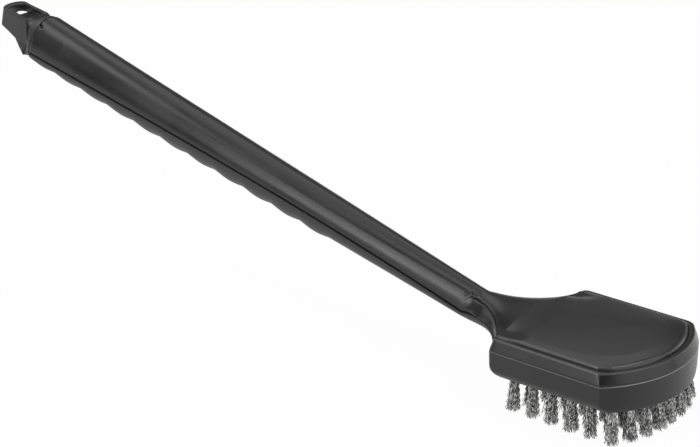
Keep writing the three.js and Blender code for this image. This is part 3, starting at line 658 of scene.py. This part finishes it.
def sole_cells():
    """The sole's field: one four-sided cell round each tuft hole, with a chamfered blind hole in
    its middle. A cell's border points are shared with its neighbours', and its hole's points lie at
    the same angles from the middle."""
    z = -BLOCK_DEPTH
    places = tuft_places()
    y_mid = (places[1:, 0, 1] + places[:-1, 0, 1]) / 2
    side = HALF - BLOCK_DRAFT - SIDE_ROUND - SOLE_MARGIN
    y_line = np.concatenate([[-side], y_mid, [side]])
    x_line = front_row(y_line)[:, None] - ROW_PITCH * np.arange(ROWS - 0.5, -1, -1)[None, :]
    x_line[:, 0] = REAR_ROUND + SOLE_MARGIN
    edge = block_ring(0.0, SOLE_MARGIN, z)
    edge = edge[edge[:, 0] > SIDE_LENGTH - 20]
    x_line[:, -1] = np.interp(y_line, edge[:, 1], edge[:, 0])
    corner = stack(x_line, y_line[:, None], 0.0)[..., :2]
    a, b, c, d = corner[:-1, :-1], corner[1:, :-1], corner[1:, 1:], corner[:-1, 1:]
    s = np.linspace(0, 1, CELL_POINTS // 4 + 1)[:-1, None]
    sides = ((a, b), (b, c), (c, d), (d, a))
    border = np.concatenate([mix(p[..., None, :], q[..., None, :], s) for p, q in sides], -2)
    away = border - places[..., None, :]
    length = np.linalg.norm(away, axis=-1, keepdims=True)
    ray = away / length

    def ring(radius):
        """Points at a distance from each hole's middle, at the angles of the border's points."""
        return places[..., None, :] + ray * radius

    border = ring(np.maximum(length, HOLE + HOLE_CHAMFER + 0.04))
    face = z + 0.02
    chamfer = [(ring(HOLE + HOLE_CHAMFER), face), (ring(HOLE), face + HOLE_CHAMFER)]
    levels = [(border, face), *chamfer, (ring(HOLE), z + HOLE_DEPTH)]
    rings = [stack(p[..., 0], p[..., 1], h) for p, h in levels]
    cells = np.stack(rings, 2).reshape(COLUMNS * ROWS, CELL_RINGS, CELL_POINTS, 3)
    bottoms = stack(places[..., 0], places[..., 1], z + HOLE_DEPTH).reshape(-1, 1, 3)
    return np.concatenate([cells.reshape(COLUMNS * ROWS, -1, 3), bottoms], 1)


def block_body(material):
    """The drilled block: its outline lofted from the seam down a wall with a small draft and round
    the lower edge to the sole. Its upper edge has a small radius, which catches light."""
    z = 0.04
    top = [(3.0, z), (0.3, z), (0.13, z - 0.04), (0.03, z - 0.13), (0.0, z - 0.3)]
    rings = [block_ring(BLOCK_DEPTH, margin, level) for margin, level in top]
    wall = np.linspace(BLOCK_DEPTH - 1.5, REAR_ROUND + 0.3, 5)
    rounding = REAR_ROUND * (1 - np.sin(np.linspace(0, np.pi / 2, 18)))[:-1]
    heights = np.sort(np.concatenate([wall, rounding, [0.5, 0.3, 0.2, 0.1, 0.04, 0.0]]))[::-1]
    rings += [block_ring(h, 0.0, h - BLOCK_DEPTH) for h in heights]
    rows = np.stack([*rings, block_ring(0.0, 0.35, -BLOCK_DEPTH)])
    count = rows.shape[1]
    points = rows.reshape(-1, 3)
    cells = sole_cells()
    first = len(points) + 1
    offsets = first + np.arange(len(cells)) * cells.shape[1]
    cell = grid_faces(CELL_RINGS, CELL_POINTS, ring_columns=True)
    deepest = CELL_RINGS * CELL_POINTS
    bottom = fan(np.arange(deepest - CELL_POINTS, deepest), deepest)
    faces = [
        grid_faces(len(rows), count, ring_columns=True),
        fan(np.arange(count), len(points)),
        (cell[None] + offsets[:, None, None]).reshape(-1, 4),
        (bottom[None] + offsets[:, None, None]).reshape(-1, 3),
    ]
    points = np.vstack([points, points[:count].mean(0), cells.reshape(-1, 3)])
    return make_piece("block_body", points, faces, material, "brush_block")


# ---- Wire tufts ----

WIRES = 78
WIRE_STEPS = 13
WIRE_RADIUS = 0.2
ROOT_SPREAD, TIP_SPREAD = 2.2, 3.7
ROOT_HEIGHT = 3.0
STRAY_SHARE = 0.07
CRIMP = (0.25, 0.55)
LEAN_CENTRE, LEAN_REACH = np.array([22.0, 0.0]), np.array([30.0, 38.0])
SLICES = 4


def crimped_wires(places, seed):
    """Centre lines of all wires of some tufts, as an array (wires, steps, 3). A wire starts at a
    place in its hole and ends further from the tuft's middle in the same direction. It is bent
    alternately to both sides, which is its crimp, and wanders a little. Tufts at the field's edge
    lean outwards."""
    rng = np.random.default_rng(seed)
    tufts = places.reshape(-1, 2)
    size = (len(tufts), WIRES)
    angle = rng.uniform(0, 2 * np.pi, size)
    share = np.sqrt(rng.uniform(0, 1, size))
    ray = np.stack([np.cos(angle), np.sin(angle)], -1)
    stray = (rng.uniform(0, 1, size) < STRAY_SHARE) * rng.uniform(0.3, 1.5, size)
    lean = (tufts - LEAN_CENTRE) / LEAN_REACH + rng.normal(0, 0.25, tufts.shape)
    root = tufts[:, None] + ray * (share * ROOT_SPREAD)[..., None]
    tip = tufts[:, None] + lean[:, None] + ray * (share * TIP_SPREAD + stray)[..., None]
    tip = tip + rng.normal(0, 0.25, tip.shape)
    short = rng.uniform(0, 0.5, (len(tufts), 1)) + rng.gamma(1.6, 0.45, size)
    low = -BLOCK_DEPTH - BRISTLE_LENGTH + np.clip(short, 0, 4.5) + WIRE_RADIUS * 0.4
    s = np.linspace(0, 1, WIRE_STEPS + 1)[None, None, :, None]
    line = mix(root[:, :, None], tip[:, :, None], s**1.25)
    side = rng.uniform(0, 2 * np.pi, size)
    crimp = np.stack([np.cos(side), np.sin(side)], -1)[:, :, None]
    sign = (-1.0) ** np.arange(WIRE_STEPS + 1)[None, None, :, None]
    depth = rng.uniform(*CRIMP, size)[..., None, None]
    wander = np.cumsum(rng.normal(0, 0.07, line.shape), axis=2)
    line = line + crimp * sign * depth * ease(0.1, 0.4, s) + wander * s
    s = s[..., 0]
    uneven = rng.normal(0, 0.012, line.shape[:3]) * s * (1 - s)
    z = mix(-BLOCK_DEPTH + ROOT_HEIGHT, low[..., None], s + uneven)
    return stack(line[..., 0], line[..., 1], z).reshape(-1, WIRE_STEPS + 1, 3)


def wire_tufts(number, material):
    """The tufts of two columns as three-sided wires along their centre lines, with closed ends."""
    per_slice = COLUMNS // SLICES
    places = tuft_places()[number * per_slice : (number + 1) * per_slice]
    lines = crimped_wires(places, 40 + number)
    turn = np.arange(3) * 2 * np.pi / 3
    corners = np.stack([np.cos(turn), -np.sin(turn), 0 * turn], -1) * WIRE_RADIUS
    points = lines[:, :, None] + corners[None, None]
    one = grid_faces(WIRE_STEPS + 1, 3, ring_columns=True)
    last = 3 * WIRE_STEPS
    ends = np.array([[2, 1, 0], [last, last + 1, last + 2]])
    offsets = np.arange(len(lines))[:, None, None] * 3 * (WIRE_STEPS + 1)
    faces = [(one[None] + offsets).reshape(-1, 4), (ends[None] + offsets).reshape(-1, 3)]
    name = f"wire_tufts_{number + 1}"
    return make_piece(name, points, faces, material, f"wire_bristles_{number + 1}")


# ---- Materials ----

GRAIN_SIZE, GRAIN_HEIGHT = 0.6, 0.05
# How much the dust specks and the painted highlight on the head's rounded top edges lighten the colour.
SPECK_LIGHT, EDGE_HIGHLIGHT_PAINT = 0.25, 0.05
PANEL_DULLER, PANEL_COARSER = 0.12, 1.5
PANEL_POWER = 2.4
# Where the masks lie in the part's frame, in metres: places along it and levels above its floor.
PANEL_MIDDLE = 0.1975
PANEL_HALF = (0.040, 0.034)
PANEL_LEVEL = (0.0425, 0.0435)
# Levels between which the painted highlight on the head's rim and dome step lies.
EDGE_HIGHLIGHT_LOW, EDGE_HIGHLIGHT_HIGH = (0.0403, 0.0406), (0.0428, 0.0434)
HEAD_START, HEAD_FRONT = (0.163, 0.166), (0.23, 0.245)
# Levels of the painted highlight just below the seam of cover and block.
SEAM_HIGHLIGHT_LEVEL = (0.03418, 0.0343)


class Nodes:
    """A small helper that adds nodes to a tree and joins them."""

    def __init__(self, tree):
        self.tree = tree

    def add(self, kind, inputs=None, **settings):
        """A node with settings and inputs; an input is a plain value or another node's output."""
        node = self.tree.nodes.new(kind)
        for key, value in settings.items():
            setattr(node, key, value)
        for key, value in (inputs or {}).items():
            if isinstance(value, bpy.types.NodeSocket):
                self.tree.links.new(value, node.inputs[key])
            else:
                node.inputs[key].default_value = value
        return node

    def math(self, operation, a, b=0.0):
        """The result of one sum, product, comparison or other operation."""
        return self.add("ShaderNodeMath", {0: a, 1: b}, operation=operation).outputs[0]

    def ramp(self, value, low, high, a=0.0, b=1.0):
        """A value from low to high as a number from a to b, eased and held at both ends."""
        inputs = {"Value": value, "From Min": low, "From Max": high, "To Min": a, "To Max": b}
        node = self.add("ShaderNodeMapRange", inputs, interpolation_type="SMOOTHSTEP")
        return node.outputs["Result"]


def new_material(name):
    """A new material, the helper for its nodes and its main shader."""
    material = bpy.data.materials.new(name)
    material.use_nodes = True
    return material, Nodes(material.node_tree), material.node_tree.nodes["Principled BSDF"]


def group(name, inputs, outputs):
    """A shader node group with named float or vector sockets, and the helper to fill it."""
    tree = bpy.data.node_groups.new(name, "ShaderNodeTree")
    for label, default in inputs.items():
        kind = "NodeSocketVector" if label == "Vector" else "NodeSocketFloat"
        socket = tree.interface.new_socket(name=label, in_out="INPUT", socket_type=kind)
        if default is not None:
            socket.default_value = default
    for label in outputs:
        tree.interface.new_socket(name=label, in_out="OUTPUT", socket_type="NodeSocketFloat")
    made = Nodes(tree)
    return tree, made, made.add("NodeGroupInput"), made.add("NodeGroupOutput")


def moulded_skin_group():
    """The skin of a plastic moulding. Grain is a fine spark-eroded texture's height, Drift a broad
    unevenness and Specks a mask of dust and tiny light nicks."""
    inputs = {"Vector": None, "Grain Size": 0.5, "Speck Size": 4.0, "Speck Share": 0.05}
    tree, n, given, result = group("moulded_skin", inputs, ["Grain", "Drift", "Specks"])
    scale = n.math("DIVIDE", 1000.0, given.outputs["Grain Size"])
    grain = n.add("ShaderNodeTexNoise", {"Vector": given.outputs["Vector"], "Scale": scale, "Detail": 2.0})
    drift = n.add("ShaderNodeTexNoise", {"Vector": given.outputs["Vector"], "Scale": 38.0, "Detail": 3.0})
    spots = n.math("DIVIDE", 1000.0, given.outputs["Speck Size"])
    cells = n.add("ShaderNodeTexVoronoi", {"Vector": given.outputs["Vector"], "Scale": spots})
    chosen = n.add("ShaderNodeSeparateColor", {"Color": cells.outputs["Color"]}).outputs[0]
    few = n.math("LESS_THAN", chosen, given.outputs["Speck Share"])
    small = n.ramp(cells.outputs["Distance"], 0.03, 0.08, 1.0, 0.0)
    n.tree.links.new(grain.outputs[0], result.inputs["Grain"])
    n.tree.links.new(drift.outputs[0], result.inputs["Drift"])
    n.tree.links.new(n.math("MULTIPLY", few, small), result.inputs["Specks"])
    return tree


def dome_panel(n, where):
    """A mask of the dome's middle: above the rim, and inside the curve on which
    |ahead/half length|^2.4 + |across/half width|^2.4 is 1."""
    place = n.add("ShaderNodeSeparateXYZ", {"Vector": where})
    ahead = n.math("DIVIDE", n.math("SUBTRACT", place.outputs[0], PANEL_MIDDLE), PANEL_HALF[0])
    across = n.math("DIVIDE", place.outputs[1], PANEL_HALF[1])
    a = n.math("POWER", n.math("ABSOLUTE", ahead), PANEL_POWER)
    b = n.math("POWER", n.math("ABSOLUTE", across), PANEL_POWER)
    inside = n.ramp(n.math("ADD", a, b), 0.85, 1.1, 1.0, 0.0)
    return n.math("MULTIPLY", inside, n.ramp(place.outputs[2], *PANEL_LEVEL))


def painted_edge_highlight(n, where):
    """A mask for the painted highlight on the head's rounded top edges: leaning surface at the levels of
    rim and dome step.
    """
    place = n.add("ShaderNodeSeparateXYZ", {"Vector": where})
    normal = n.add("ShaderNodeNewGeometry").outputs["Normal"]
    up = n.add("ShaderNodeSeparateXYZ", {"Vector": normal}).outputs[2]
    leaning = n.math("MULTIPLY", n.ramp(up, 0.3, 0.5), n.ramp(up, 0.88, 0.97, 1.0, 0.0))
    over = n.ramp(place.outputs[2], *EDGE_HIGHLIGHT_LOW)
    under = n.ramp(place.outputs[2], *EDGE_HIGHLIGHT_HIGH, 1.0, 0.0)
    edges = n.math("MULTIPLY", leaning, n.math("MULTIPLY", over, under))
    return n.math("MULTIPLY", edges, n.ramp(place.outputs[0], *HEAD_START))


def painted_seam_highlight(n, where, seam_highlight):
    """A painted highlight just below the seam of cover and block, palest along the bowed front."""
    place = n.add("ShaderNodeSeparateXYZ", {"Vector": where})
    line = n.ramp(place.outputs[2], *SEAM_HIGHLIGHT_LEVEL, 0.0, seam_highlight)
    return n.math("MULTIPLY", line, n.ramp(place.outputs[0], *HEAD_FRONT, 1.0, 2.6))


def plastic(name, skin, color=0.022, rough=(0.22, 0.29), panel=False, seam_highlight=0.0):
    """Black moulded polypropylene. The skin's drift varies its roughness, its grain is a low bump,
    and its specks lighten the colour. The cover also has the dome's duller, coarser panel and a
    painted highlight on its rounded top edges, and the block a painted highlight along its top edge below
    the seam."""
    material, n, shader = new_material(name)
    where = n.add("ShaderNodeTexCoord").outputs["Object"]
    look = n.add("ShaderNodeGroup", {"Vector": where, "Grain Size": GRAIN_SIZE}, node_tree=skin)
    roughness = n.ramp(look.outputs["Drift"], 0.3, 0.7, *rough)
    tone = n.ramp(look.outputs["Drift"], 0.25, 0.75, 0.85, 1.15)
    height = n.math("MULTIPLY", look.outputs["Grain"], GRAIN_HEIGHT)
    light = n.math("MULTIPLY", look.outputs["Specks"], SPECK_LIGHT)
    if panel:
        mask = dome_panel(n, where)
        roughness = n.math("ADD", roughness, n.math("MULTIPLY", mask, PANEL_DULLER))
        coarser = n.math("ADD", 1.0, n.math("MULTIPLY", mask, PANEL_COARSER))
        height = n.math("MULTIPLY", height, coarser)
        # A painted highlight on the head's rounded top edges.
        light = n.math("ADD", light, n.math("MULTIPLY", painted_edge_highlight(n, where), EDGE_HIGHLIGHT_PAINT))
    # A painted highlight along the block's top edge, just below the seam.
    if seam_highlight:
        light = n.math("ADD", light, painted_seam_highlight(n, where, seam_highlight))
    value = n.math("ADD", n.math("MULTIPLY", tone, color), light)
    tint = n.add("ShaderNodeCombineColor", {0: value, 1: value, 2: value})
    n.tree.links.new(tint.outputs[0], shader.inputs["Base Color"])
    n.tree.links.new(roughness, shader.inputs["Roughness"])
    bump = n.add("ShaderNodeBump", {"Height": height, "Distance": 0.0004, "Strength": 0.5})
    n.tree.links.new(bump.outputs["Normal"], shader.inputs["Normal"])
    shader.inputs["IOR"].default_value = 1.49
    return material


def steel_wire(name, base=0.62, rough=0.3):
    """Drawn stainless wire. Noise that is stretched along Z makes its colour lighter and darker by turns:
    painted highlights and shade that stand in for the light on the crimped faces of real wire."""
    material, n, shader = new_material(name)
    where = n.add("ShaderNodeTexCoord").outputs["Object"]
    thin = n.add("ShaderNodeMapping", {"Vector": where, "Scale": (1400.0, 1400.0, 450.0)})
    noise = n.add("ShaderNodeTexNoise", {"Vector": thin.outputs[0], "Scale": 1.0, "Detail": 1.0})
    # Painted highlights and shade along the wire, from 0.12 to 1.2 times the base colour.
    tone = n.ramp(noise.outputs[0], 0.38, 0.62, base * 0.12, base * 1.2)
    tint = n.add("ShaderNodeCombineColor", {0: tone, 1: tone, 2: n.math("MULTIPLY", tone, 0.985)})
    n.tree.links.new(tint.outputs[0], shader.inputs["Base Color"])
    roughness = n.ramp(noise.outputs[0], 0.3, 0.7, rough + 0.1, rough - 0.08)
    n.tree.links.new(roughness, shader.inputs["Roughness"])
    shader.inputs["Metallic"].default_value = 1.0
    return material


# ---- Studio ----

FLOOR_Z = -0.0002
FLOOR_HALF = 6
FLOOR_SEEN = 0.97
FLOOR_IN_REFLECTION = 0.66
# Where a painted dark spot on the floor, seen only in reflections, darkens the head's near front corner.
PAINTED_DARK_SPOT = (0.287, -0.08, FLOOR_Z)
LAMP_DISTANCE = 1.8
# Each lamp's name, azimuth and elevation in degrees, width and height in metres, and radiance.
LAMPS = [
    ("front_softbox", 346, 15, (0.8, 1.2), 1.5),
    ("front_left_strip", 341, 33, (0.62, 1.3), 3.1),
    ("head_side_softbox", 100, 14, (1.8, 1.2), 1.15),
    ("low_back_softbox", 150, 5, (1.2, 0.62), 1.15),
    ("high_back_softbox", 217, 46, (1.4, 0.6), 0.95),
    ("back_softbox", 206, 22, (1.4, 0.9), 0.06),
    ("upper_back_softbox", 210, 67, (1.2, 0.75), 0.6),
    ("left_softbox", 278, 36, (1.2, 1.0), 1.0),
    ("front_top_softbox", 105, 54, (1.4, 0.8), 2.4),
    ("near_edge_softbox", 296, 52, (0.7, 0.6), 2.8),
    ("far_edge_softbox", 203, 3, (0.8, 0.3), 0.25),
    ("low_left_softbox", 290, 5, (1.2, 0.62), 0.6),
    ("high_left_softbox", 260, 65, (1.3, 0.9), 0.4),
    ("top_softbox", 0, 82, (0.7, 0.7), 2.2),
]

# The camera that was fitted to the photograph, in degrees, pixels and millimetres.
CAMERA_AZIMUTH, CAMERA_ELEVATION, CAMERA_ROLL = 41.132, 21.448, -0.774
CAMERA_PLACE = np.array([654.625, -900.827, 494.705])
FOCAL_PIXELS = 2272.812
PICTURE_WIDTH = 700
SENSOR_WIDTH = 36.0


def facing(azimuth, elevation):
    """Two unit vectors for something at an azimuth, counted from the near side towards the head,
    and an elevation: the one that points to it, and its own right-hand one."""
    a, e = np.radians([azimuth, elevation])
    back = np.array([np.sin(a) * np.cos(e), -np.cos(a) * np.cos(e), np.sin(e)])
    return back, np.array([np.cos(a), np.sin(a), 0.0])


def put_in_scene(name, data, right, up, back, place):
    """An object of the scene at a place in metres, with its own axes along three unit vectors."""
    made = bpy.data.objects.new(name, data)
    bpy.context.scene.collection.objects.link(made)
    turn = np.column_stack([right, up, back, place])
    made.matrix_world = Matrix([*turn.tolist(), [0, 0, 0, 1]])
    return made


def studio_floor():
    """A plain white floor under the bristle tips. The camera sees it as white with a faint shadow.
    The part mirrors it as pale grey, with one painted dark spot off the head's near front corner, seen only
    in reflections, which paints a dark reflection on that corner."""
    mesh = bpy.data.meshes.new("studio_floor")
    turns = ((-1, -1), (1, -1), (1, 1), (-1, 1))
    corners = [(x * FLOOR_HALF, y * FLOOR_HALF, FLOOR_Z) for x, y in turns]
    mesh.from_pydata(corners, [], [(0, 1, 2, 3)])
    floor = bpy.data.objects.new("studio_floor", mesh)
    bpy.context.scene.collection.objects.link(floor)
    material, n, shader = new_material("white_floor")
    n.tree.nodes.remove(shader)
    lit = n.add("ShaderNodeBsdfDiffuse", {"Color": (0.8, 0.8, 0.8, 1)})
    white = n.add("ShaderNodeEmission", {"Color": (1, 1, 1, 1), "Strength": 1.0})
    path = n.add("ShaderNodeLightPath")
    bounced = n.math("MAXIMUM", path.outputs["Is Glossy Ray"], path.outputs["Is Transmission Ray"])
    where = n.add("ShaderNodeTexCoord").outputs["Object"]
    # A painted dark spot, seen only in reflections: it paints a dark reflection on the head's near front
    # corner.
    away = n.add("ShaderNodeVectorMath", {0: where, 1: PAINTED_DARK_SPOT}, operation="DISTANCE").outputs["Value"]
    level = n.ramp(away, 0.03, 0.06, 0.0, FLOOR_IN_REFLECTION)
    mirrored_white = n.math("MULTIPLY", bounced, level)
    seen = n.math("MULTIPLY", path.outputs["Is Camera Ray"], FLOOR_SEEN)
    share = n.math("MAXIMUM", seen, mirrored_white)
    mixed = n.add("ShaderNodeMixShader", {0: share, 1: lit.outputs[0], 2: white.outputs[0]})
    n.tree.links.new(mixed.outputs[0], n.tree.nodes["Material Output"].inputs["Surface"])
    mesh.materials.append(material)


def studio_world(strength):
    """Even pale light all round; the camera sees it as white."""
    world = bpy.data.worlds.new("studio_world")
    bpy.context.scene.world = world
    world.use_nodes = True
    n = Nodes(world.node_tree)
    background = world.node_tree.nodes["Background"]
    background.inputs["Color"].default_value = (1, 1, 1, 1)
    seen = n.add("ShaderNodeLightPath").outputs["Is Camera Ray"]
    level = n.add("ShaderNodeMapRange", {"Value": seen, "To Min": strength, "To Max": 1.0})
    n.tree.links.new(level.outputs["Result"], background.inputs["Strength"])


def soft_light(name, azimuth, elevation, size, radiance):
    """A flat area lamp at a distance from the part and turned to it. Its power is set from its
    radiance, which is 1 for a plain white surface."""
    back, right = facing(azimuth, elevation)
    place = np.array([0, 0, 0.05]) + LAMP_DISTANCE * back
    lamp = bpy.data.lights.new(name, "AREA")
    lamp.shape = "RECTANGLE"
    lamp.size, lamp.size_y = size
    lamp.energy = radiance * size[0] * size[1] * np.pi
    put_in_scene(name, lamp, right, np.cross(back, right), back, place)


def photograph_camera():
    """The fitted camera. It looks against its back vector, and is rolled a little about it."""
    back, right = facing(CAMERA_AZIMUTH, CAMERA_ELEVATION)
    roll = np.radians(CAMERA_ROLL)
    up = np.cross(back, right)
    place = (CAMERA_PLACE + TO_PART) * MM
    turned_right = np.cos(roll) * right + np.sin(roll) * up
    turned_up = -np.sin(roll) * right + np.cos(roll) * up
    lens = bpy.data.cameras.new("photograph_camera")
    lens.sensor_width = SENSOR_WIDTH
    lens.lens = SENSOR_WIDTH * FOCAL_PIXELS / PICTURE_WIDTH
    camera = put_in_scene("photograph_camera", lens, turned_right, turned_up, back, place)
    bpy.context.scene.camera = camera


photograph_camera()
skin = moulded_skin_group()
cover_plastic = plastic("black_cover_plastic", skin, panel=True)
grip_plastic = plastic("black_grip_plastic", skin, color=0.03, rough=(0.38, 0.46))
plug_plastic = plastic("black_plug_plastic", skin, color=0.026, rough=(0.28, 0.4))
block_plastic = plastic("black_block_plastic", skin, color=0.019, rough=(0.28, 0.36), seam_highlight=0.1)
wire = steel_wire("crimped_steel_wire", base=0.8, rough=0.36)
strip = steel_wire("anchor_steel_strip", base=0.6)

cover_with_handle_top(cover_plastic)
grip_underside(grip_plastic)
hang_loop_plug(plug_plastic)
block_body(block_plastic)
for number in range(SLICES):
    wire_tufts(number, wire)
for name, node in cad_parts.items():
    if name.startswith("tuft_anchor"):
        node.data.materials.clear()
        node.data.materials.append(strip)

studio_floor()
studio_world(0.07)
for lamp in LAMPS:
    soft_light(*lamp)

bpy.context.scene.view_settings.view_transform = "Standard"
